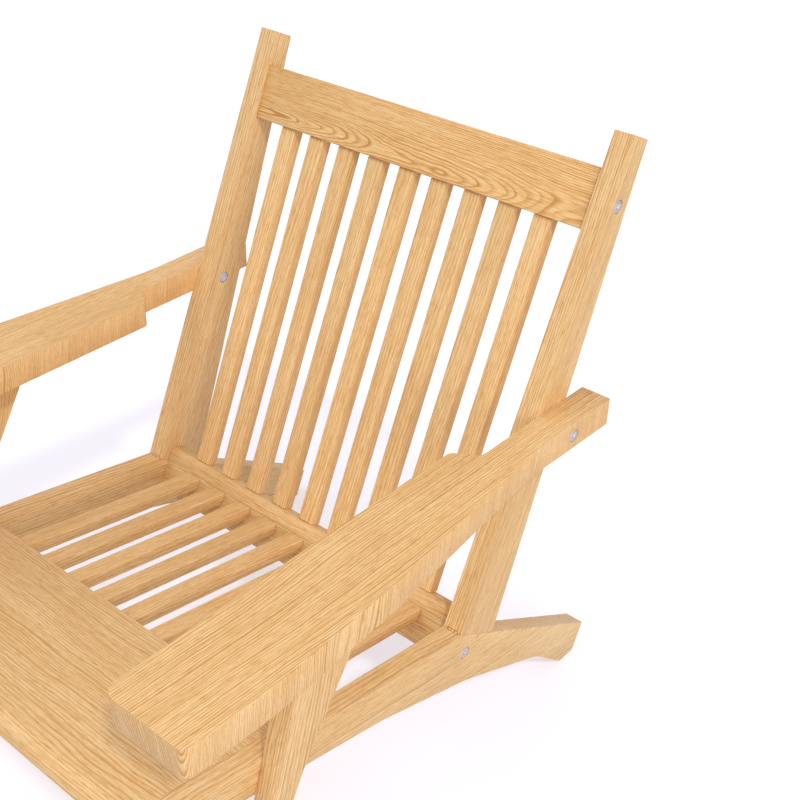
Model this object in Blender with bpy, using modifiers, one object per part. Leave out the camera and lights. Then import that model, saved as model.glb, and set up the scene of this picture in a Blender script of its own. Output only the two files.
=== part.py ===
"""Folding lounge chair in solid wood: a slatted seat on two bent side rails, a slatted back that
folds forward over it, and two arms that stay level on front legs swinging down beside the rails.

Metres, +Z up. The chair faces -Y, and its origin is on the floor under the middle of its outline.
"Left" and "right" are as seen by someone standing in front of it.
"""

from math import ceil, cos, pi, radians, sin, tan

import bmesh
import bpy
from mathutils import Matrix, Vector

# Stock and fits
STOCK = 0.0274              # thickness of the side rails, stiles, front legs and cross rails
HALF_WIDTH = 0.300          # from the middle of the chair to the outer faces of its side frames
GAP = 0.0003                # clearance between touching pieces
PAST = 0.001                # cutters run this far past the faces they open
ARC_STEP = radians(11)      # each facet of a rounded corner turns by at most this much
WELD = 0.00001              # points closer than this are one point

# The bend in the side rail is where the back folds; the frame is laid out from it
BEND_Y = 0.1075
BEND_Z = 0.2254
SEAT_RISE = radians(9.46)   # the seat rises towards the front
LEG_FALL = radians(30.45)   # the top of the rail falls towards the rear foot
BACK_LEAN = radians(24.45)  # the back leans away from upright

# Side rail outline from the bend: the nose, the belly of the seat side and the rear foot
RAIL_NOSE_HEIGHT = 0.037
RAIL_NOSE_TOP_RADIUS = 0.016
RAIL_NOSE_LOW_RADIUS = 0.010
RAIL_NOSE_SET_BACK = 0.0045
RAIL_BELLY = ((-0.330, 0.0065), (-0.150, -0.0365), (0.020, -0.0915))
RAIL_BELLY_RADIUS = 0.30
HEEL_START = (0.190, -0.168)
HEEL_RADIUS = 0.10
FOOT_FRONT = 0.2574
FOOT_REAR = 0.2892
FOOT_TIP = (0.3078, -0.1815)

# Seat: distances along the seat from the bend, forward being negative
SEAT_FRONT = -0.529
BOARD_REAR = -0.2975
BOARD_NOSE = 0.020          # radius of the rounded front edge
BOARD_UNDERCUT = 0.002      # the nose leans back by this much at the bottom
BOARD_LOWER_RADIUS = 0.004
SLAT_COUNT = 9
SEAT_SLAT_PITCH = 0.0532
SEAT_SLAT_WIDTH = 0.0262
SEAT_SLAT_DEPTH = 0.0175
SEAT_SLAT_DROP = 0.0045     # the slats lie this far below the top of the rails

# Back: heights along the front face of the stiles, depths behind it
STILE_LENGTH = 0.641
STILE_TOP_DEPTH = 0.0325
STILE_FOOT = 0.0808         # length of the stile's foot along the top of the rail
CROSS_FRONT = 0.0135        # front faces of the two lower cross rails
SEAT_REAR_RAIL_HEIGHT = 0.0494
BAR_TOP = 0.0196
BAR_FRONT_RADIUS = 0.011
BAR_REAR_RADIUS = 0.005
TOP_RAIL_FRONT = 0.0055
TOP_RAIL_LOW = 0.5227
TOP_RAIL_HIGH = 0.5964
TOP_RAIL_RADIUS = 0.002     # of its four long edges
BACK_SLAT_PITCH = 0.0532
BACK_SLAT_WIDTH = 0.0255
BACK_SLAT_DEPTH = 0.018
BACK_SLAT_FOOT = 0.0215     # depth of the slats' front faces at the lower bar
BACK_SLAT_HEAD = 0.0105     # and at the top rail
TENON = 0.010               # thickness of every slat's tenon
TENON_REACH = 0.010

# Arms: level boards, their outline measured from the arm bolt
ARM_BOLT_UP = 0.2893        # along the stile from the bend
ARM_BOLT_IN = 0.0281        # behind the front of the stile
ARM_BOTTOM = 0.2341         # above the bend
ARM_THICKNESS = 0.0367
ARM_BOLT_FACE = 0.3407      # outer face of the arm where the bolt goes through
ARM_OUTSIDE = 0.350         # cutters for the arm bolt start out here
ARM_REAR = 0.0737
ARM_REAR_RADIUS = 0.0015
ARM_OUTER_SIDE = ((0.3395, -0.085, 0.20), (0.3745, -0.370, 0.60), (0.3870, -0.560, 0.60))
ARM_REAR_WIDTH = 0.0415     # of the neck at its rear end
ARM_FRONT_END = ((0.3855, -0.668, 0.011), (0.2735, -0.668, 0.016))
ARM_INNER_SIDE = ((0.2690, -0.400, 0), (0.2690, -0.152, 0.012))
ARM_NECK_START = -0.131
ARM_NECK_RADIUS = 0.012

# Front legs
LEG_TOP_REAR = -0.190       # from the bend, along Y
LEG_PIN_Y = -0.340
LEG_PIN_Z = 0.033
LEG_PIN_RADIUS = 0.004
LEG_SLOT_LENGTH = 0.042
LEG_SLOT_WIDTH = 0.0175
LEG_SLOT_OFFSET = 0.002     # the pin travels further towards the foot than towards the arm
LEG_SLOT_DEPTH = 0.0195
SLOT_END = 0.999            # share of the half width, which keeps the two end arcs apart
LEG_PIN_BACK = 0.010        # the pin's hole in the rail starts this far from its inner face
LEG_PIN_CLEARANCE = 0.003   # between the end of the pin and the floor of the slot
LEG_KNEE = (-0.354, 0.050, 0.90)     # the front edge bends here, and the rear edge at the calf
LEG_CALF = (-0.3292, 0.0155, 0.45)
LEG_FOOT_FRONT = -0.4365
LEG_FOOT_REAR = -0.4085
LEG_TOP_FRONT = -0.306
LEG_TOP_RELIEF = 0.0005     # keeps the leg's rear top corner clear of the arm as it swings

# Fasteners
HEAD_RADIUS = 0.0082
HEAD_DEPTH = 0.0045
HEAD_RECESS = 0.0006
HEAD_CHAMFER = 0.0007
SHANK_RADIUS = 0.004
SOCKET_RADIUS = 0.0029
SOCKET_DEPTH = 0.0028
RAIL_BOLT_UP = -0.030
RAIL_BOLT_IN = 0.027
TOP_BOLT_UP = 0.5596
TOP_BOLT_IN = 0.019
FRAME_BOLT_LENGTH = 0.062
BOLT_END_ROOM = 0.002
ARM_BOLT_SHORT = 0.0055     # the arm bolt ends this far inside the stile's inner face
SLEEVE_RADIUS = 0.0058
SLEEVE_DEPTH = 0.014
NUT_HEAD_DEPTH = 0.002
NUT_CLOSED_DEPTH = 0.004    # solid metal in front of the end of the bolt
NUT_FACE = 0.0005           # its head is let in by this much

# Butt hinges let into the seams
HINGE_WIDTH = 0.014
HINGE_LEAF = 0.030
LEAF_THICKNESS = 0.0014
KNUCKLE_RADIUS = 0.0018
HINGE_PIN_RADIUS = 0.0008
HINGE_TAB_START = 0.0005    # from the axis, inside the knuckle

SIDES = (("left", -1), ("right", 1))
INNER_FACE = HALF_WIDTH - STOCK
SIDE_MIDDLE = HALF_WIDTH - STOCK / 2
LEG_MIDDLE = HALF_WIDTH + GAP + STOCK / 2

# Local frames: the seat plane, the front plane of the back, and the YZ plane for side outlines
BEND = Matrix.Translation((0, BEND_Y, BEND_Z))
SEAT = BEND @ Matrix.Rotation(-SEAT_RISE, 4, "X")
BACK = BEND @ Matrix.Rotation(-BACK_LEAN, 4, "X")
SEAM = BEND @ Matrix.Rotation(-LEG_FALL, 4, "X")
SIDE_PLANE = Matrix.Rotation(pi / 2, 4, "Z") @ Matrix.Rotation(pi / 2, 4, "X")


def clear_scene():
    for item in list(bpy.data.objects):
        bpy.data.objects.remove(item, do_unlink=True)


def new_collection(name):
    collection = bpy.data.collections.new(name)
    bpy.context.scene.collection.children.link(collection)
    return collection


def new_material(name, colour, roughness, metallic=0.0):
    material = bpy.data.materials.new(name)
    material.use_nodes = True
    shader = material.node_tree.nodes["Principled BSDF"]
    shader.inputs["Base Color"].default_value = (*colour, 1)
    shader.inputs["Roughness"].default_value = roughness
    shader.inputs["Metallic"].default_value = metallic
    return material


def rounded(corners):
    """Closed outline through (x, y, radius) corners, an arc standing in for each rounded corner."""
    points = []
    for index, (x, y, radius) in enumerate(corners):
        corner = Vector((x, y))
        if radius == 0:
            points.append(corner)
            continue
        back = (Vector(corners[index - 1][:2]) - corner).normalized()
        ahead = (Vector(corners[(index + 1) % len(corners)][:2]) - corner).normalized()
        opening = back.angle(ahead)
        centre = corner + (back + ahead).normalized() * radius / sin(opening / 2)
        reach = radius / tan(opening / 2)
        start = corner + back * reach - centre
        end = corner + ahead * reach - centre
        turn = -start.angle_signed(end)
        steps = ceil(abs(turn) / ARC_STEP) + 1
        for step in range(steps + 1):
            points.append(centre + Matrix.Rotation(turn * step / steps, 2) @ start)
    return points


def link_mesh(name, mesh, frame, collection, material=None):
    item = bpy.data.objects.new(name, mesh)
    item.matrix_world = frame
    collection.objects.link(item)
    if material:
        mesh.materials.append(material)
    else:
        item.hide_render = True
        item.display_type = "WIRE"
    return item


def plate(name, outline, thickness, frame, collection, material=None):
    """Flat piece with the given outline in the frame's XY plane, centred on that plane."""
    curve = bpy.data.curves.new(name + "_outline", "CURVE")
    curve.dimensions = "2D"
    curve.fill_mode = "BOTH"
    curve.extrude = thickness / 2
    spline = curve.splines.new("POLY")
    spline.points.add(len(outline) - 1)
    for point, (x, y) in zip(spline.points, outline):
        point.co = (x, y, 0, 1)
    spline.use_cyclic_u = True
    guide = bpy.data.objects.new(name + "_outline", curve)
    guide.matrix_world = frame
    collection.objects.link(guide)
    graph = bpy.context.evaluated_depsgraph_get()
    mesh = bpy.data.meshes.new_from_object(guide.evaluated_get(graph))
    bpy.data.objects.remove(guide)
    weld = bmesh.new()
    weld.from_mesh(mesh)
    bmesh.ops.remove_doubles(weld, verts=weld.verts, dist=WELD)
    bmesh.ops.recalc_face_normals(weld, faces=weld.faces)
    weld.to_mesh(mesh)
    weld.free()
    return link_mesh(name, mesh, frame, collection, material)


def side_plate(name, corners, middle, thickness, frame, collection, material=None):
    """Piece with its outline seen from the side, in the frame's (rearward, upward) axes."""
    upright = frame @ Matrix.Translation((middle, 0, 0)) @ SIDE_PLANE
    return plate(name, rounded(corners), thickness, upright, collection, material)


def boxes(name, blocks, frame, collection, material=None):
    """Blocks given as (low corner, high corner) in the frame's axes, in one mesh."""
    block_mesh = bmesh.new()
    for low, high in blocks:
        size = Vector(high) - Vector(low)
        place = Matrix.Translation((Vector(high) + Vector(low)) / 2) @ Matrix.Diagonal((*size, 1))
        bmesh.ops.create_cube(block_mesh, size=1, matrix=place)
    mesh = bpy.data.meshes.new(name)
    block_mesh.to_mesh(mesh)
    block_mesh.free()
    return link_mesh(name, mesh, frame, collection, material)


def rods(name, spans, frame, collection, material=None, sides=24):
    """Round rods along X, given as (radius, from x, to x, y, z) in the frame's axes."""
    rod_mesh = bmesh.new()
    for radius, low, high, y, z in spans:
        place = Matrix.Translation(((low + high) / 2, y, z)) @ Matrix.Rotation(pi / 2, 4, "Y")
        bmesh.ops.create_cone(rod_mesh, cap_ends=True, segments=sides, radius1=radius, radius2=radius,
                              depth=abs(high - low), matrix=place)
    mesh = bpy.data.meshes.new(name)
    rod_mesh.to_mesh(mesh)
    rod_mesh.free()
    return link_mesh(name, mesh, frame, collection, material)


def turned(name, profile, frame, collection, material, steps=24):
    """Turned piece about the frame's Z axis, from (radius, height) points running down its outside."""
    mesh = bpy.data.meshes.new(name)
    edges = [(i, i + 1) for i in range(len(profile) - 1)]
    mesh.from_pydata([(radius, 0, height) for radius, height in profile], edges, [])
    item = link_mesh(name, mesh, frame, collection, material)
    screw = item.modifiers.new("turn", "SCREW")
    screw.steps = steps
    screw.render_steps = steps
    screw.use_merge_vertices = True
    screw.merge_threshold = WELD
    screw.use_smooth_shade = True
    return item


def boolean(target, other, operation="DIFFERENCE"):
    step = target.modifiers.new(other.name, "BOOLEAN")
    step.operation = operation
    step.solver = "EXACT"
    step.object = other


def pivot(name, y, z, parent=None):
    """Empty on a joint's axis, which the pieces of that moving body hang from."""
    empty = bpy.data.objects.new(name, None)
    bpy.context.scene.collection.objects.link(empty)
    empty.empty_display_size = 0.03
    empty.location = (0, y, z)
    if parent:
        empty.parent = parent
        empty.location = Vector((0, y, z)) - parent.matrix_world.translation
    bpy.context.view_layer.update()
    return empty


def hang(item, empty):
    item.parent = empty
    item.matrix_parent_inverse = empty.matrix_world.inverted()


def back_point(up, depth):
    """(y, z) of a point on the back, from its height up the stile and depth behind its front."""
    return BACK @ Vector((0, depth, up))


def slat_centres(pitch):
    return [(index - (SLAT_COUNT - 1) / 2) * pitch for index in range(SLAT_COUNT)]


clear_scene()
chair = new_collection("folding_lounge_chair")
cutters = new_collection("cutters")
wood = new_material("oak", (0.74, 0.48, 0.235), 0.5)
steel = new_material("steel", (0.56, 0.55, 0.58), 0.3, 1.0)
brass = new_material("brass", (0.66, 0.45, 0.20), 0.35, 1.0)

arm_bolt = back_point(ARM_BOLT_UP, ARM_BOLT_IN)
arm_underside = BEND_Z + ARM_BOTTOM
back_pivot = pivot("back_pivot", BEND_Y, BEND_Z)
arm_pivots = {side: pivot("arm_pivot_" + side, arm_bolt.y, arm_bolt.z, back_pivot) for side, _ in SIDES}
leg_pivots = {side: pivot("leg_pivot_" + side, BEND_Y + LEG_TOP_REAR, arm_underside, arm_pivots[side])
              for side, _ in SIDES}


def side_rail(side, sign):
    """Bent rail: the side of the seat in front of the bend and the rear leg behind it."""
    front_y = SEAT_FRONT * cos(SEAT_RISE)
    front_z = -SEAT_FRONT * sin(SEAT_RISE)
    corners = [
        (0, 0, 0),
        (front_y, front_z, RAIL_NOSE_TOP_RADIUS),
        (front_y + RAIL_NOSE_SET_BACK, front_z - RAIL_NOSE_HEIGHT, RAIL_NOSE_LOW_RADIUS),
        *[(y, z, RAIL_BELLY_RADIUS) for y, z in RAIL_BELLY],
        (*HEEL_START, HEEL_RADIUS),
        (FOOT_FRONT, -BEND_Z, 0),
        (FOOT_REAR, -BEND_Z, 0),
        (*FOOT_TIP, 0),
    ]
    rail = side_plate("side_rail_" + side, corners, sign * SIDE_MIDDLE, STOCK, BEND, chair, wood)
    place = back_point(RAIL_BOLT_UP, RAIL_BOLT_IN)
    boolean(rail, rods("rail_bolt_hole_" + side, [
        (SHANK_RADIUS + GAP, sign * (INNER_FACE - PAST), sign * (HALF_WIDTH + PAST), place.y, place.z),
    ], Matrix(), cutters))
    boolean(rail, rods("rail_counterbore_" + side, [
        (HEAD_RADIUS + GAP, sign * (HALF_WIDTH - HEAD_RECESS - HEAD_DEPTH - GAP),
         sign * (HALF_WIDTH + PAST), place.y, place.z),
    ], Matrix(), cutters))
    boolean(rail, rods("leg_pin_hole_" + side, [
        (LEG_PIN_RADIUS + GAP, sign * (INNER_FACE + LEG_PIN_BACK), sign * (HALF_WIDTH + PAST),
         BEND_Y + LEG_PIN_Y, BEND_Z + LEG_PIN_Z),
    ], Matrix(), cutters))
    recess_hinge(rail, "rail_hinge_recess_" + side, sign * SIDE_MIDDLE, SEAM, -1)


def recess_hinge(target, name, middle, frame, way):
    """Recess for a leaf and the round notch for the knuckle; way is -1 below the seam, 1 above."""
    reach = HINGE_WIDTH / 2 + GAP
    if way < 0:
        low, high = -LEAF_THICKNESS - GAP, PAST
    else:
        low, high = -PAST, LEAF_THICKNESS + 2 * GAP
    leaf = ((middle - reach, 0, low), (middle + reach, HINGE_LEAF + GAP, high))
    boolean(target, boxes(name, [leaf], frame, cutters))
    notch = (KNUCKLE_RADIUS + GAP, middle - reach, middle + reach, 0, 0)
    boolean(target, rods(name + "_notch", [notch], frame, cutters, sides=20))


def hinge(name, middle, frame, carrier, folder):
    """Butt hinge with its pin on the frame's X axis: one leaf below the seam, one above, and a pin."""
    edge = HINGE_WIDTH / 2
    third = HINGE_WIDTH / 6
    spans = {
        "fixed": [(-edge, -third - GAP / 2), (third + GAP / 2, edge)],
        "swing": [(-third + GAP / 2, third - GAP / 2)],
    }
    levels = {"fixed": (-LEAF_THICKNESS, 0), "swing": (GAP, GAP + LEAF_THICKNESS)}
    clear = KNUCKLE_RADIUS + GAP
    for part, empty in (("fixed", carrier), ("swing", folder)):
        low, high = levels[part]
        flat = ((middle - edge, clear, low), (middle + edge, HINGE_LEAF, high))
        leaf = boxes(f"{name}_leaf_{part}", [flat], frame, chair, brass)
        for index, (start, end) in enumerate(spans[part]):
            tab = ((middle + start, HINGE_TAB_START, low), (middle + end, clear + PAST, high))
            boolean(leaf, boxes(f"{name}_{part}_tab_{index}", [tab], frame, cutters), "UNION")
            knuckle = (KNUCKLE_RADIUS, middle + start, middle + end, 0, 0)
            round_end = rods(f"{name}_{part}_knuckle_{index}", [knuckle], frame, cutters, sides=20)
            boolean(leaf, round_end, "UNION")
        bore = (HINGE_PIN_RADIUS + GAP, middle - edge - PAST, middle + edge + PAST, 0, 0)
        boolean(leaf, rods(f"{name}_{part}_bore", [bore], frame, cutters, sides=16))
        if empty:
            hang(leaf, empty)
    pin = rods(name + "_pin", [(HINGE_PIN_RADIUS, middle - edge, middle + edge, 0, 0)], frame, chair, brass,
               sides=16)
    if carrier:
        hang(pin, carrier)


def bolt(name, sign, head_x, length, place, empty=None):
    """Socket head bolt along X with its head on the outer side."""
    profile = [
        (0, 0), (HEAD_RADIUS - HEAD_CHAMFER, 0), (HEAD_RADIUS, -HEAD_CHAMFER), (HEAD_RADIUS, -HEAD_DEPTH),
        (SHANK_RADIUS, -HEAD_DEPTH), (SHANK_RADIUS, -length), (0, -length),
    ]
    frame = Matrix.Translation((sign * head_x, place.y, place.z)) @ Matrix.Rotation(sign * pi / 2, 4, "Y")
    item = turned(name, profile, frame, chair, steel)
    socket = rods(name + "_socket", [
        (SOCKET_RADIUS, sign * (head_x - SOCKET_DEPTH), sign * (head_x + PAST), place.y, place.z),
    ], Matrix(), cutters, sides=6)
    boolean(item, socket)
    if empty:
        hang(item, empty)


def sleeve_nut(name, sign, empty):
    """Round-headed sleeve nut on the inner face of the stile, closed over the end of the arm bolt."""
    bore = SHANK_RADIUS + GAP
    profile = [
        (0, 0), (HEAD_RADIUS - HEAD_CHAMFER, 0), (HEAD_RADIUS, -HEAD_CHAMFER),
        (HEAD_RADIUS, -NUT_HEAD_DEPTH), (SLEEVE_RADIUS, -NUT_HEAD_DEPTH), (SLEEVE_RADIUS, -SLEEVE_DEPTH),
        (bore, -SLEEVE_DEPTH), (bore, -NUT_CLOSED_DEPTH), (0, -NUT_CLOSED_DEPTH),
    ]
    place = Matrix.Translation((sign * (INNER_FACE + NUT_FACE), arm_bolt.y, arm_bolt.z))
    frame = place @ Matrix.Rotation(-sign * pi / 2, 4, "Y")
    hang(turned(name, profile, frame, chair, steel), empty)


def front_board():
    """Plank across the front of the seat, its nose rounded, its rear edge mortised for the slats."""
    corners = [
        (BOARD_REAR, 0, 0), (SEAT_FRONT, 0, BOARD_NOSE),
        (SEAT_FRONT + BOARD_UNDERCUT, -STOCK, BOARD_LOWER_RADIUS), (BOARD_REAR, -STOCK, 0),
    ]
    board = side_plate("front_board", corners, 0, 2 * (INNER_FACE - GAP), SEAT, chair, wood)
    low, high = seat_tenon_heights()
    half = SEAT_SLAT_WIDTH / 2 + GAP
    boolean(board, boxes("board_mortises", [
        ((x - half, BOARD_REAR - TENON_REACH - GAP, low - GAP), (x + half, BOARD_REAR + PAST, high + GAP))
        for x in slat_centres(SEAT_SLAT_PITCH)
    ], SEAT, cutters))


def seat_tenon_heights():
    middle = -SEAT_SLAT_DROP - SEAT_SLAT_DEPTH / 2
    return middle - TENON / 2, middle + TENON / 2


def rear_rail_face(height):
    """Where the leaning front face of the seat rear rail stands in the seat frame, at a height."""
    slope = tan(BACK_LEAN - SEAT_RISE)
    return CROSS_FRONT / cos(BACK_LEAN - SEAT_RISE) + height * slope


def seat_rear_rail():
    corners = [
        (CROSS_FRONT, 0, 0), (CROSS_FRONT, -SEAT_REAR_RAIL_HEIGHT, 0),
        (CROSS_FRONT + STOCK, -SEAT_REAR_RAIL_HEIGHT, 0), (CROSS_FRONT + STOCK, 0, 0),
    ]
    rail = side_plate("seat_rear_rail", corners, 0, 2 * (INNER_FACE - GAP), BACK, chair, wood)
    low, high = seat_tenon_heights()
    half = SEAT_SLAT_WIDTH / 2 + GAP
    end = rear_rail_face(low) + TENON_REACH + 2 * GAP
    boolean(rail, boxes("rear_rail_mortises", [
        ((x - half, 0, low - GAP), (x + half, end, high + GAP)) for x in slat_centres(SEAT_SLAT_PITCH)
    ], SEAT, cutters))
    place = back_point(RAIL_BOLT_UP, RAIL_BOLT_IN)
    ends = [(SHANK_RADIUS + GAP, sign * (HALF_WIDTH - FRAME_BOLT_LENGTH - BOLT_END_ROOM), sign * HALF_WIDTH,
             place.y, place.z) for _, sign in SIDES]
    boolean(rail, rods("rear_rail_bolt_holes", ends, Matrix(), cutters))


def seat_slats():
    low, high = seat_tenon_heights()
    top = -SEAT_SLAT_DROP
    bottom = top - SEAT_SLAT_DEPTH
    front = BOARD_REAR + GAP
    corners = [
        (front, top, 0), (front, high, 0), (front - TENON_REACH, high, 0), (front - TENON_REACH, low, 0),
        (front, low, 0), (front, bottom, 0), (rear_rail_face(bottom) - GAP, bottom, 0),
        (rear_rail_face(low) - GAP, low, 0), (rear_rail_face(low) + TENON_REACH, low, 0),
        (rear_rail_face(low) + TENON_REACH, high, 0), (rear_rail_face(high) - GAP, high, 0),
        (rear_rail_face(top) - GAP, top, 0),
    ]
    for index, x in enumerate(slat_centres(SEAT_SLAT_PITCH), 1):
        side_plate(f"seat_slat_{index}", corners, x, SEAT_SLAT_WIDTH, SEAT, chair, wood)


def stile(side, sign):
    """Tapered upright of the back, its foot cut to sit on the side rail."""
    lift = GAP / cos(LEG_FALL)
    foot = BACK.inverted() @ SEAM @ Vector((0, STILE_FOOT, 0))
    corners = [
        (0, STILE_LENGTH, 0), (0, lift, 0), (foot.y, foot.z + lift, 0), (STILE_TOP_DEPTH, STILE_LENGTH, 0),
    ]
    post = side_plate("stile_" + side, corners, sign * SIDE_MIDDLE, STOCK, BACK, chair, wood)
    hang(post, back_pivot)
    top_bolt = back_point(TOP_BOLT_UP, TOP_BOLT_IN)
    outside = sign * (HALF_WIDTH + PAST)
    inside = sign * (INNER_FACE - PAST)
    boolean(post, rods("stile_bolt_holes_" + side, [
        (SHANK_RADIUS + GAP, inside, outside, top_bolt.y, top_bolt.z),
        (SHANK_RADIUS + GAP, inside, outside, arm_bolt.y, arm_bolt.z),
    ], Matrix(), cutters))
    boolean(post, rods("stile_counterbores_" + side, [
        (HEAD_RADIUS + GAP, sign * (HALF_WIDTH - HEAD_RECESS - HEAD_DEPTH - GAP), outside,
         top_bolt.y, top_bolt.z),
        (HEAD_RADIUS + GAP, inside, sign * (INNER_FACE + NUT_FACE + NUT_HEAD_DEPTH + GAP),
         arm_bolt.y, arm_bolt.z),
    ], Matrix(), cutters))
    boolean(post, rods("sleeve_hole_" + side, [
        (SLEEVE_RADIUS + GAP, inside, sign * (INNER_FACE + SLEEVE_DEPTH + PAST), arm_bolt.y, arm_bolt.z),
    ], Matrix(), cutters))
    recess_hinge(post, "stile_hinge_recess_" + side, sign * SIDE_MIDDLE, SEAM, 1)


def top_rail():
    corners = [
        (TOP_RAIL_FRONT, TOP_RAIL_HIGH), (TOP_RAIL_FRONT, TOP_RAIL_LOW),
        (TOP_RAIL_FRONT + STOCK, TOP_RAIL_LOW), (TOP_RAIL_FRONT + STOCK, TOP_RAIL_HIGH),
    ]
    corners = [(*corner, TOP_RAIL_RADIUS) for corner in corners]
    rail = side_plate("top_rail", corners, 0, 2 * (INNER_FACE - GAP), BACK, chair, wood)
    hang(rail, back_pivot)
    mortises = back_mortises(TOP_RAIL_LOW - PAST, TOP_RAIL_LOW + TENON_REACH + GAP)
    boolean(rail, boxes("top_rail_mortises", mortises, BACK, cutters))
    place = back_point(TOP_BOLT_UP, TOP_BOLT_IN)
    ends = [(SHANK_RADIUS + GAP, sign * (HALF_WIDTH - FRAME_BOLT_LENGTH - BOLT_END_ROOM), sign * HALF_WIDTH,
             place.y, place.z) for _, sign in SIDES]
    boolean(rail, rods("top_rail_bolt_holes", ends, Matrix(), cutters))


def back_slat_front(up):
    """Depth of the slats' front faces, which slope a little against the stiles."""
    share = (up - BAR_TOP) / (TOP_RAIL_LOW - BAR_TOP)
    return BACK_SLAT_FOOT + share * (BACK_SLAT_HEAD - BACK_SLAT_FOOT)


def back_mortises(low, high):
    half = BACK_SLAT_WIDTH / 2 + GAP
    shoulder = (BACK_SLAT_DEPTH - TENON) / 2
    slope = abs(back_slat_front(high) - back_slat_front(low))
    front = min(back_slat_front(low), back_slat_front(high)) + shoulder - GAP
    rear = front + TENON + 2 * GAP + slope
    return [((x - half, front, low), (x + half, rear, high)) for x in slat_centres(BACK_SLAT_PITCH)]


def back_lower_rail():
    """Bar across the foot of the back, its top rounded over."""
    corners = [
        (CROSS_FRONT, GAP, 0), (CROSS_FRONT + STOCK, GAP, 0),
        (CROSS_FRONT + STOCK, BAR_TOP, BAR_REAR_RADIUS), (CROSS_FRONT, BAR_TOP, BAR_FRONT_RADIUS),
    ]
    bar = side_plate("back_lower_rail", corners, 0, 2 * (INNER_FACE - GAP), BACK, chair, wood)
    hang(bar, back_pivot)
    mortises = back_mortises(BAR_TOP - TENON_REACH - GAP, BAR_TOP + PAST)
    boolean(bar, boxes("lower_rail_mortises", mortises, BACK, cutters))


def back_slats():
    shoulder = (BACK_SLAT_DEPTH - TENON) / 2

    def edge(up, depth):
        return (back_slat_front(up) + depth, up, 0)

    low, high = BAR_TOP + GAP, TOP_RAIL_LOW - GAP
    rear = BACK_SLAT_DEPTH
    corners = [
        edge(low, 0), edge(low, shoulder), edge(low - TENON_REACH, shoulder),
        edge(low - TENON_REACH, rear - shoulder), edge(low, rear - shoulder), edge(low, rear),
        edge(high, rear), edge(high, rear - shoulder), edge(high + TENON_REACH, rear - shoulder),
        edge(high + TENON_REACH, shoulder), edge(high, shoulder), edge(high, 0),
    ]
    for index, x in enumerate(slat_centres(BACK_SLAT_PITCH), 1):
        slat = side_plate(f"back_slat_{index}", corners, x, BACK_SLAT_WIDTH, BACK, chair, wood)
        hang(slat, back_pivot)


def arm(side, sign):
    """Level arm: a narrow neck beside the stile, stepping in to a broad board that widens forward."""
    inner = HALF_WIDTH + GAP
    corners = [
        (inner, ARM_REAR, ARM_REAR_RADIUS), (inner + ARM_REAR_WIDTH, ARM_REAR, ARM_REAR_RADIUS),
        *ARM_OUTER_SIDE, *ARM_FRONT_END, *ARM_INNER_SIDE, (inner, ARM_NECK_START, ARM_NECK_RADIUS),
    ]
    outline = rounded(corners)
    if sign < 0:
        outline = [(-x, y) for x, y in reversed(outline)]
    middle = arm_underside + ARM_THICKNESS / 2
    frame = Matrix.Translation((0, arm_bolt.y, middle))
    board = plate("arm_" + side, outline, ARM_THICKNESS, frame, chair, wood)
    hang(board, arm_pivots[side])
    boolean(board, rods("arm_bolt_hole_" + side, [
        (SHANK_RADIUS + GAP, sign * (HALF_WIDTH - PAST), sign * ARM_OUTSIDE, arm_bolt.y, arm_bolt.z),
    ], Matrix(), cutters))
    boolean(board, rods("arm_counterbore_" + side, [
        (HEAD_RADIUS + GAP, sign * (ARM_BOLT_FACE - HEAD_RECESS - HEAD_DEPTH - GAP), sign * ARM_OUTSIDE,
         arm_bolt.y, arm_bolt.z),
    ], Matrix(), cutters))
    recess_hinge(board, "arm_hinge_recess_" + side, sign * LEG_MIDDLE, leg_seam(), -1)


def leg_seam():
    """Frame of the seam between arm and leg: its Y runs forward from the pin, its Z down."""
    return Matrix.Translation((0, BEND_Y + LEG_TOP_REAR, arm_underside)) @ Matrix.Rotation(pi, 4, "X")


def front_leg(side, sign):
    """Front leg, broad under the arm and slim at the foot, slotted inside for the pin on the rail."""
    top = ARM_BOTTOM - GAP
    corners = [
        (LEG_TOP_FRONT, top, 0), LEG_KNEE, (LEG_FOOT_FRONT, -BEND_Z, 0),
        (LEG_FOOT_REAR, -BEND_Z, 0), LEG_CALF, (LEG_TOP_REAR - LEG_TOP_RELIEF, top, 0),
    ]
    leg = side_plate("front_leg_" + side, corners, sign * LEG_MIDDLE, STOCK, BEND, chair, wood)
    hang(leg, leg_pivots[side])
    run = Vector((LEG_TOP_REAR - LEG_PIN_Y, ARM_BOTTOM - LEG_PIN_Z)).normalized()
    across = Vector((-run.y, run.x))
    centre = Vector((LEG_PIN_Y, LEG_PIN_Z)) - LEG_SLOT_OFFSET * run
    half_length, half_width = LEG_SLOT_LENGTH / 2, LEG_SLOT_WIDTH / 2
    ends = []
    for along, aside in ((1, 1), (-1, 1), (-1, -1), (1, -1)):
        spot = centre + run * along * half_length + across * aside * half_width
        ends.append((spot.x, spot.y, half_width * SLOT_END))
    depth = LEG_SLOT_DEPTH + PAST
    middle = sign * (HALF_WIDTH - PAST + depth / 2)
    boolean(leg, side_plate("leg_slot_" + side, ends, middle, depth, BEND, cutters))
    recess_hinge(leg, "leg_hinge_recess_" + side, sign * LEG_MIDDLE, leg_seam(), 1)


def leg_pin(side, sign):
    rods("leg_pin_" + side, [
        (LEG_PIN_RADIUS, sign * (INNER_FACE + LEG_PIN_BACK + PAST / 2),
         sign * (HALF_WIDTH + LEG_SLOT_DEPTH - LEG_PIN_CLEARANCE),
         BEND_Y + LEG_PIN_Y, BEND_Z + LEG_PIN_Z),
    ], Matrix(), chair, steel)


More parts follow.
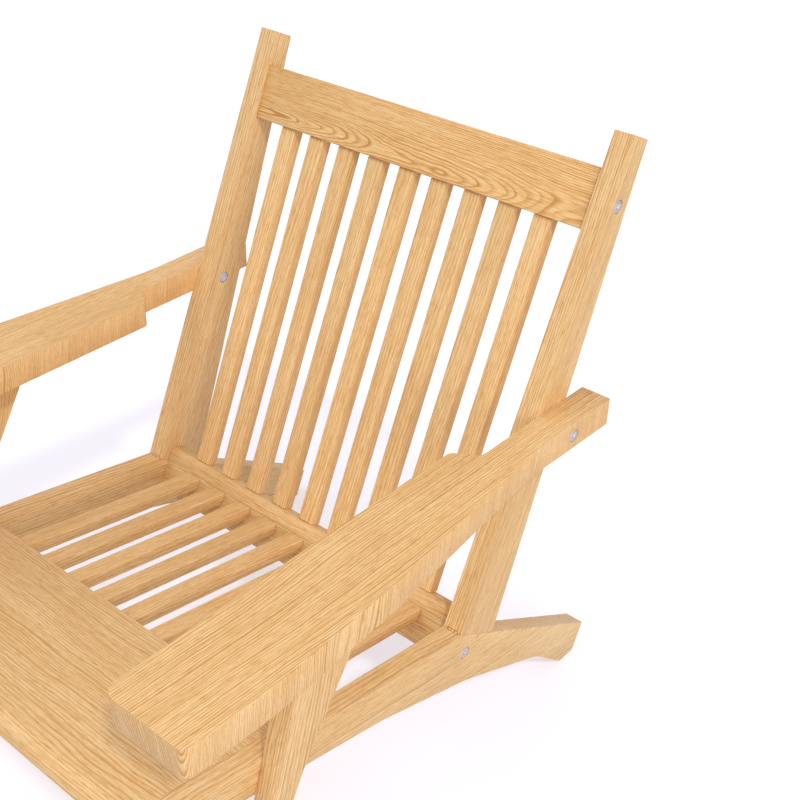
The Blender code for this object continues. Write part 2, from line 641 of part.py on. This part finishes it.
front_board()
seat_rear_rail()
seat_slats()
top_rail()
back_lower_rail()
back_slats()
for side, sign in SIDES:
    side_rail(side, sign)
    stile(side, sign)
    arm(side, sign)
    front_leg(side, sign)
    leg_pin(side, sign)
    bolt("rail_bolt_" + side, sign, HALF_WIDTH - HEAD_RECESS, FRAME_BOLT_LENGTH,
         back_point(RAIL_BOLT_UP, RAIL_BOLT_IN))
    bolt("top_rail_bolt_" + side, sign, HALF_WIDTH - HEAD_RECESS, FRAME_BOLT_LENGTH,
         back_point(TOP_BOLT_UP, TOP_BOLT_IN), back_pivot)
    bolt("arm_bolt_" + side, sign, ARM_BOLT_FACE - HEAD_RECESS, ARM_BOLT_FACE - INNER_FACE - ARM_BOLT_SHORT,
         arm_bolt, back_pivot)
    sleeve_nut("arm_nut_" + side, sign, back_pivot)
    hinge("back_hinge_" + side, sign * SIDE_MIDDLE, SEAM, None, back_pivot)
    hinge("leg_hinge_" + side, sign * LEG_MIDDLE, leg_seam(), arm_pivots[side], leg_pivots[side])
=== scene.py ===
"""Folding lounge chair: oiled oak boards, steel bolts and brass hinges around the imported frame."""
from math import cos, radians, sin

import bpy
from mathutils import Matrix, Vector


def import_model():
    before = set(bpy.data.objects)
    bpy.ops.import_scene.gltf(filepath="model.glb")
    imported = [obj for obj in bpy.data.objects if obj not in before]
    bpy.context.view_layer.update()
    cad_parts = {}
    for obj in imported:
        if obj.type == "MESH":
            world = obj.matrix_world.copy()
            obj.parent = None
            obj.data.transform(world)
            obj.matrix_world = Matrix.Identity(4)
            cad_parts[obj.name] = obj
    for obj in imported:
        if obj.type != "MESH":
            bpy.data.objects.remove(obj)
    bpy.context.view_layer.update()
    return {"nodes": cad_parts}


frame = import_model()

nodes = frame["nodes"]
scene = bpy.context.scene

BACK_LEAN = radians(24.45)
SEAT_RISE = radians(9.46)
LEG_LEAN = radians(16.4)
EDGE_RADIUS = 0.0014
EDGE_STEPS = 3
EDGE_ANGLE = radians(30)            # corners sharper than this are eased
SMOOTH_ANGLE = radians(28)          # facets that meet at less than this are shaded as one surface
FLAT_ANGLE = radians(0.6)           # triangles that meet at less than this become one flat face
MERGE_DISTANCE = 0.00001
SIDE_FINENESS = 2.4                 # how much finer the grain is on faces that take side_basis
SLATS = 9                           # in the seat, and as many in the back
FLOOR_SIZE = 14
FLOOR_DROP = 0.0005                 # keeps the floor just clear of the feet
FLOOR_GLOW = 0.38


# ---------------------------------------------------------------- node helpers

def group_node(tree, kind, place, **settings):
    node = tree.nodes.new(kind)
    node.location = place
    for key, value in settings.items():
        setattr(node, key, value)
    return node


def maths(tree, operation, first, second=None, place=(0, 0)):
    """Math node fed by sockets or plain numbers; returns its output socket."""
    node = group_node(tree, "ShaderNodeMath", place, operation=operation)
    for index, value in enumerate((first, second)):
        if value is None:
            continue
        if isinstance(value, (int, float)):
            node.inputs[index].default_value = value
        else:
            tree.links.new(value, node.inputs[index])
    return node.outputs[0]


def dot(tree, vector, direction, place=(0, 0)):
    node = group_node(tree, "ShaderNodeVectorMath", place, operation="DOT_PRODUCT")
    tree.links.new(vector, node.inputs[0])
    node.inputs[1].default_value = direction
    return node.outputs["Value"]


def combine(tree, x, y, z, place=(0, 0)):
    node = group_node(tree, "ShaderNodeCombineXYZ", place)
    for socket, value in zip(node.inputs, (x, y, z)):
        if isinstance(value, (int, float)):
            socket.default_value = value
        else:
            tree.links.new(value, socket)
    return node.outputs[0]


def noise(tree, vector, scale=1.0, detail=2.0, roughness=0.5, place=(0, 0)):
    node = group_node(tree, "ShaderNodeTexNoise", place)
    node.inputs["Scale"].default_value = scale
    node.inputs["Detail"].default_value = detail
    node.inputs["Roughness"].default_value = roughness
    tree.links.new(vector, node.inputs["Vector"])
    return node.outputs["Fac"]


def ramp(tree, factor, stops, place=(0, 0), smooth=False):
    node = group_node(tree, "ShaderNodeValToRGB", place)
    if smooth:
        node.color_ramp.interpolation = "EASE"
    elements = node.color_ramp.elements
    while len(elements) < len(stops):
        elements.new(0.5)
    for element, (position, colour) in zip(elements, stops):
        element.position = position
        element.color = (*colour, 1) if len(colour) == 3 else colour
    tree.links.new(factor, node.inputs["Fac"])
    return node.outputs["Color"]


def grey(value):
    return (value, value, value)


def blend_colour(tree, mode, factor, first, second, place=(0, 0)):
    node = group_node(tree, "ShaderNodeMix", place, data_type="RGBA", blend_type=mode)
    if isinstance(factor, (int, float)):
        node.inputs["Factor"].default_value = factor
    else:
        tree.links.new(factor, node.inputs["Factor"])
    for name, value in (("A", first), ("B", second)):
        socket = next(s for s in node.inputs if s.name == name and s.type == "RGBA")
        if isinstance(value, tuple):
            socket.default_value = (*value, 1)
        else:
            tree.links.new(value, socket)
    return next(s for s in node.outputs if s.type == "RGBA")


# ---------------------------------------------------------------- wood

OAK_PALE = (0.835, 0.570, 0.285)
OAK_MID = (0.765, 0.490, 0.222)
OAK_DARK = (0.520, 0.245, 0.062)
OAK_PORE = (0.460, 0.205, 0.055)


def direction_basis(along, across):
    along = Vector(along).normalized()
    across = Vector(across)
    across = (across - along * along.dot(across)).normalized()
    return along, across, along.cross(across)


def grain_coordinates(tree, centre, basis, side_basis=None):
    """Distances along the grain and in the two directions across it, from the middle of the piece.

    Where side_basis is given, faces that are not level take their grain from that basis.
    """
    coords = group_node(tree, "ShaderNodeTexCoord", (-2900, 0))
    local = group_node(tree, "ShaderNodeVectorMath", (-2700, 0), operation="SUBTRACT")
    tree.links.new(coords.outputs["Object"], local.inputs[0])
    local.inputs[1].default_value = centre
    vector = combine(tree, *(dot(tree, local.outputs[0], axis, (-2500, 0)) for axis in basis))
    if side_basis:
        side = combine(tree, *(dot(tree, local.outputs[0], axis, (-2500, -300)) for axis in side_basis))
        level = maths(tree, "ABSOLUTE", dot(tree, coords.outputs["Normal"], (0, 0, 1), (-2500, -600)))
        upright = maths(tree, "LESS_THAN", level, 0.7)
        pick = group_node(tree, "ShaderNodeMix", (-2200, -200), data_type="VECTOR")
        tree.links.new(upright, pick.inputs["Factor"])
        for name, value in (("A", vector), ("B", side)):
            tree.links.new(value, next(s for s in pick.inputs if s.name == name and s.type == "VECTOR"))
        vector = next(s for s in pick.outputs if s.type == "VECTOR")
    split = group_node(tree, "ShaderNodeSeparateXYZ", (-2000, 0))
    tree.links.new(vector, split.inputs[0])
    return split.outputs


def stretched(tree, u, v, w, along, across, shift):
    """The grain coordinates scaled along and across, moved to a stretch of their own."""
    return combine(tree, maths(tree, "ADD", maths(tree, "MULTIPLY", u, along), shift),
                   maths(tree, "MULTIPLY", v, across), maths(tree, "MULTIPLY", w, across))


def oak(name, centre, basis, seed, side_basis=None, gap=0.0030, pith=(0.5, 0.1), slope=0.0, wander=0.004,
        strength=1.0, fleck=1.0, tone=(1, 1, 1)):
    """Oiled oak: growth rings about a pith beside the piece, pores, fibres, edge wear and patches.

    gap is the ring spacing, pith the heart's place across the grain, slope its run-out along it.
    """
    material = bpy.data.materials.new(name)
    material.use_nodes = True
    tree = material.node_tree
    shader = tree.nodes["Principled BSDF"]
    u, v, w = grain_coordinates(tree, centre, basis, side_basis)
    shift = 1.37 * seed

    # the trunk is never straight: the rings wander along the piece, slowly and in small waves
    slow = noise(tree, stretched(tree, u, v, w, 3.2, 11.0, shift), 1.0, 2.0, 0.5, (-1500, 300))
    quick = noise(tree, stretched(tree, u, v, w, 17.0, 48.0, shift + 9.1), 1.0, 1.0, 0.5, (-1500, 100))
    drift = maths(tree, "ADD", maths(tree, "MULTIPLY", maths(tree, "SUBTRACT", slow, 0.5), wander * 6),
                  maths(tree, "MULTIPLY", maths(tree, "SUBTRACT", quick, 0.5), wander * 0.6))
    ring_v = maths(tree, "ADD", maths(tree, "ADD", v, maths(tree, "MULTIPLY", u, slope)),
                   maths(tree, "ADD", drift, pith[0]))
    ring_w = maths(tree, "ADD", w, pith[1])
    radius = maths(tree, "SQRT", maths(tree, "ADD", maths(tree, "MULTIPLY", ring_v, ring_v),
                                       maths(tree, "MULTIPLY", ring_w, ring_w)))
    ring = maths(tree, "DIVIDE", radius, gap)
    # good and poor years: the spacing and the strength vary from ring to ring
    years = noise(tree, combine(tree, maths(tree, "MULTIPLY", ring, 0.31), shift, 0.0), 1.0, 2.0, 0.6)
    ring = maths(tree, "ADD", ring, maths(tree, "MULTIPLY", years, 2.4))
    phase = maths(tree, "FRACT", ring)
    number = maths(tree, "MULTIPLY", maths(tree, "FLOOR", ring), 0.37)
    year = noise(tree, combine(tree, number, shift, maths(tree, "MULTIPLY", u, 2.0)), 3.1, 1.0, 0.5)

    # early wood is porous and dark at the start of each ring, then gives way to pale late wood
    porous = ramp(tree, phase, [(0.0, grey(0.15)), (0.08, grey(1.0)), (0.30, grey(0.50)), (0.52, grey(0.0)),
                                (0.94, grey(0.0)), (1.0, grey(0.15))])
    year_depth = ramp(tree, year, [(0.30, grey(0.25)), (0.58, grey(1.0))])
    depth = maths(tree, "MULTIPLY", maths(tree, "MULTIPLY", porous, year_depth), 0.80 * strength)

    fibre = noise(tree, stretched(tree, u, v, w, 14.0, 640.0, shift), 1.0, 3.0, 0.6)
    short = noise(tree, stretched(tree, u, v, w, 62.0, 930.0, shift), 1.0, 2.0, 0.6)
    cloud = noise(tree, stretched(tree, u, v, w, 4.0, 21.0, shift + 3.3), 1.0, 3.0, 0.5)
    pores = ramp(tree, short, [(0.33, grey(1.0)), (0.45, grey(0.0))])
    pore_depth = maths(tree, "ADD", maths(tree, "MULTIPLY", porous, 0.45), 0.20 * fleck)
    pore_depth = maths(tree, "MULTIPLY", pores, pore_depth)

    base = ramp(tree, cloud, [(0.25, OAK_MID), (0.72, OAK_PALE)], smooth=True)
    streaks = ramp(tree, fibre, [(0.32, (0.87, 0.75, 0.57)), (0.50, grey(1.0)), (0.70, (1.03, 1.07, 1.16))])
    colour = blend_colour(tree, "MULTIPLY", 0.9, base, streaks)
    ticks = ramp(tree, short, [(0.34, (0.89, 0.79, 0.61)), (0.50, grey(1.0)), (0.66, (1.03, 1.06, 1.13))])
    colour = blend_colour(tree, "MULTIPLY", fleck, colour, ticks)
    colour = blend_colour(tree, "MIX", depth, colour, OAK_DARK)
    colour = blend_colour(tree, "MIX", pore_depth, colour, OAK_PORE)
    colour = blend_colour(tree, "MULTIPLY", 1.0, colour, tuple(tone))

    # handled edges are a little paler
    wear = group_node(tree, "ShaderNodeNewGeometry", (-400, -500)).outputs["Pointiness"]
    worn = ramp(tree, wear, [(0.51, grey(0.0)), (0.60, grey(1.0))])
    colour = blend_colour(tree, "SCREEN", maths(tree, "MULTIPLY", worn, 0.10), colour, (0.9, 0.7, 0.5))
    tree.links.new(colour, shader.inputs["Base Color"])

    rough = maths(tree, "ADD", maths(tree, "MULTIPLY", fibre, 0.16), 0.42)
    rough = maths(tree, "ADD", rough, maths(tree, "MULTIPLY", porous, 0.08))
    tree.links.new(rough, shader.inputs["Roughness"])
    height = maths(tree, "SUBTRACT", maths(tree, "MULTIPLY", fibre, 0.5),
                   maths(tree, "ADD", pore_depth, maths(tree, "MULTIPLY", depth, 0.3)))
    bump = group_node(tree, "ShaderNodeBump", (-200, -300))
    bump.inputs["Strength"].default_value = 0.4
    bump.inputs["Distance"].default_value = 0.0004
    tree.links.new(height, bump.inputs["Height"])
    tree.links.new(bump.outputs[0], shader.inputs["Normal"])
    shader.inputs["Specular IOR Level"].default_value = 0.30
    return material


# ---------------------------------------------------------------- metal

def brushed(name, colour, roughness, scale=900.0):
    """Bare metal: fine scratches and slight tarnish."""
    material = bpy.data.materials.new(name)
    material.use_nodes = True
    tree = material.node_tree
    shader = tree.nodes["Principled BSDF"]
    coords = group_node(tree, "ShaderNodeTexCoord", (-1400, 0)).outputs["Object"]
    fine = noise(tree, coords, scale, 4.0, 0.7)
    broad = noise(tree, coords, 160.0, 3.0, 0.6)
    tint = ramp(tree, broad, [(0.3, tuple(c * 0.82 for c in colour)), (0.65, colour)])
    tree.links.new(tint, shader.inputs["Base Color"])
    rough = maths(tree, "ADD", maths(tree, "MULTIPLY", fine, 0.22), roughness - 0.10)
    tree.links.new(rough, shader.inputs["Roughness"])
    bump = group_node(tree, "ShaderNodeBump", (-200, -300))
    bump.inputs["Strength"].default_value = 0.15
    bump.inputs["Distance"].default_value = 0.0001
    tree.links.new(fine, bump.inputs["Height"])
    tree.links.new(bump.outputs[0], shader.inputs["Normal"])
    shader.inputs["Metallic"].default_value = 1.0
    return material


# ---------------------------------------------------------------- finish on each CAD node

def finish_node(name, material, edge=EDGE_RADIUS):
    """Give a CAD node its material, smooth facets on its round stretches and eased edges."""
    item = nodes[name]
    item.data.materials.clear()
    item.data.materials.append(material)
    item.data.shade_smooth()
    item.data.set_sharp_from_angle(angle=SMOOTH_ANGLE)
    merge = item.modifiers.new("merge", "WELD")
    merge.merge_threshold = MERGE_DISTANCE
    flat = item.modifiers.new("flat faces", "DECIMATE")
    flat.decimate_type = "DISSOLVE"
    flat.angle_limit = FLAT_ANGLE
    if edge:
        ease = item.modifiers.new("eased edges", "BEVEL")
        ease.width = edge
        ease.segments = EDGE_STEPS
        ease.limit_method = "ANGLE"
        ease.angle_limit = EDGE_ANGLE
        ease.harden_normals = True
        ease.use_clamp_overlap = True


X = Vector((1, 0, 0))
UP_BACK = Vector((0, sin(BACK_LEAN), cos(BACK_LEAN)))
IN_BACK = Vector((0, cos(BACK_LEAN), -sin(BACK_LEAN)))
ALONG_SEAT = Vector((0, cos(SEAT_RISE), -sin(SEAT_RISE)))
OFF_SEAT = Vector((0, sin(SEAT_RISE), cos(SEAT_RISE)))
DOWN_LEG = Vector((0, -sin(LEG_LEAN), -cos(LEG_LEAN)))
OFF_LEG = Vector((0, cos(LEG_LEAN), -sin(LEG_LEAN)))
Y = Vector((0, 1, 0))
Z = Vector((0, 0, 1))


def timber(name, along, across, seed, sides=None, **figure):
    """Finish a wooden node in oak of its own; sides is the grain direction of its upright faces."""
    corners = [Vector(corner) for corner in nodes[name].bound_box]
    centre = sum(corners, Vector()) / len(corners)
    basis = direction_basis(along, across)
    side_basis = None
    if sides:
        side_basis = [axis * SIDE_FINENESS for axis in direction_basis(sides, along + across)]
    finish_node(name, oak("oak_" + name, centre, basis, seed, side_basis, **figure))


timber("front_board", X, ALONG_SEAT + OFF_SEAT * 0.5, 3, gap=0.0032, pith=(0.25, 0.06), wander=0.005,
       strength=1.0)
timber("seat_rear_rail", X, UP_BACK + IN_BACK * 0.6, 5, strength=1.1, tone=(0.92, 0.90, 0.86))
timber("back_lower_rail", X, IN_BACK + UP_BACK * 0.8, 7, gap=0.0026, strength=1.0, tone=(0.96, 0.94, 0.90))
timber("top_rail", X, IN_BACK, 11, gap=0.0019, pith=(0.034, 0.025), slope=0.055, wander=0.0056,
       strength=1.5, tone=(1.02, 0.98, 0.90))
for index in range(1, SLATS + 1):
    shade = 0.96 + 0.02 * (index % 4)
    timber(f"seat_slat_{index}", ALONG_SEAT, X + OFF_SEAT * (0.7 + 0.2 * (index % 3)), 20 + index,
           gap=0.0026 + 0.0003 * (index % 3), wander=0.002, strength=0.8,
           tone=(shade, shade * 0.97, shade * 0.92))
    shade = 0.97 + 0.02 * ((index * 3) % 4)
    timber(f"back_slat_{index}", UP_BACK, X + IN_BACK * (0.6 + 0.3 * (index % 3)), 40 + index,
           gap=0.0026 + 0.0003 * (index % 4), wander=0.002, strength=0.85,
           tone=(shade, shade * 0.98, shade * 0.93))
for side, seed in (("left", 60), ("right", 71)):
    timber(f"side_rail_{side}", ALONG_SEAT, OFF_SEAT + X * 0.5, seed, gap=0.0034, wander=0.003,
           strength=1.1)
    timber(f"stile_{side}", UP_BACK, IN_BACK + X * 0.9, seed + 1, gap=0.0025, pith=(0.5, 0.0), wander=0.002,
           strength=1.15)
    timber(f"arm_{side}", Y, X, seed + 2, sides=Z + Y * 0.12, gap=0.0031, pith=(0.4, 0.12), wander=0.004,
           strength=1.4, tone=(1.04, 1.02, 1.0))
    timber(f"front_leg_{side}", DOWN_LEG, OFF_LEG + X * 0.7, seed + 3, gap=0.0034, wander=0.003,
           strength=1.1)

steel = brushed("bolt_steel", (0.60, 0.58, 0.62), 0.58)
brass = brushed("hinge_brass", (0.80, 0.58, 0.30), 0.52)
for name in nodes:
    if "hinge" in name:
        finish_node(name, brass, 0)
    elif "bolt" in name or "nut" in name or name.startswith("leg_pin"):
        finish_node(name, steel, 0)


# ---------------------------------------------------------------- studio

def floor():
    bpy.ops.mesh.primitive_plane_add(size=FLOOR_SIZE, location=(0, 0, -FLOOR_DROP))
    ground = bpy.context.object
    ground.name = "studio_floor"
    material = bpy.data.materials.new("studio_floor")
    material.use_nodes = True
    shader = material.node_tree.nodes["Principled BSDF"]
    shader.inputs["Base Color"].default_value = (0.71, 0.70, 0.78, 1)
    shader.inputs["Emission Color"].default_value = (0.97, 0.95, 1.0, 1)
    shader.inputs["Emission Strength"].default_value = FLOOR_GLOW
    shader.inputs["Roughness"].default_value = 0.9
    shader.inputs["Specular IOR Level"].default_value = 0.1
    ground.data.materials.append(material)
    ground.visible_diffuse = False      # the white sweep does not light the chair from below


def sun(name, towards, strength, spread):
    """Far lamp, so that the whole floor is lit evenly; spread is the softness of its shadows."""
    light = bpy.data.lights.new(name, "SUN")
    light.energy = strength
    light.angle = radians(spread)
    light.color = (1.0, 0.985, 0.96)
    item = bpy.data.objects.new(name, light)
    item.rotation_euler = Vector(towards).to_track_quat("Z", "Y").to_euler()
    scene.collection.objects.link(item)


def softbox(name, place, target, size, power):
    """Lamp close by, fading across the chair; kept out of sight from every side."""
    light = bpy.data.lights.new(name, "AREA")
    light.size = size
    light.energy = power
    item = bpy.data.objects.new(name, light)
    item.location = place
    item.rotation_euler = (Vector(target) - Vector(place)).to_track_quat("-Z", "Y").to_euler()
    item.visible_camera = False
    scene.collection.objects.link(item)


def world():
    backdrop = bpy.data.worlds.new("studio")
    backdrop.use_nodes = True
    background = backdrop.node_tree.nodes["Background"]
    background.inputs["Color"].default_value = (0.96, 0.97, 1.0, 1)
    background.inputs["Strength"].default_value = 0.62
    scene.world = backdrop


def camera():
    """Standing to the right of the chair's front, looking down at it."""
    data = bpy.data.cameras.new("camera")
    data.sensor_width = 36.0
    data.lens = 58.195
    data.shift_x = 0.0847
    data.shift_y = 0.0736
    item = bpy.data.objects.new("camera", data)
    item.location = (1.0031, -0.8932, 1.3484)
    item.rotation_euler = (radians(90 - 35.031), 0, radians(42.746))
    scene.collection.objects.link(item)
    scene.camera = item


floor()
world()
sun("key", (0.56, -0.32, 0.77), 1.00, 5)
sun("low", (0.93, -0.30, 0.22), 0.35, 25)
sun("front", (0.0, -0.76, 0.65), 0.25, 40)
sun("left", (-0.60, -0.30, 0.74), 0.58, 40)
softbox("side", (1.9, -0.45, 0.85), (0.2, 0, 0.4), 1.1, 7.5)
camera()
scene.view_settings.view_transform = "Standard"
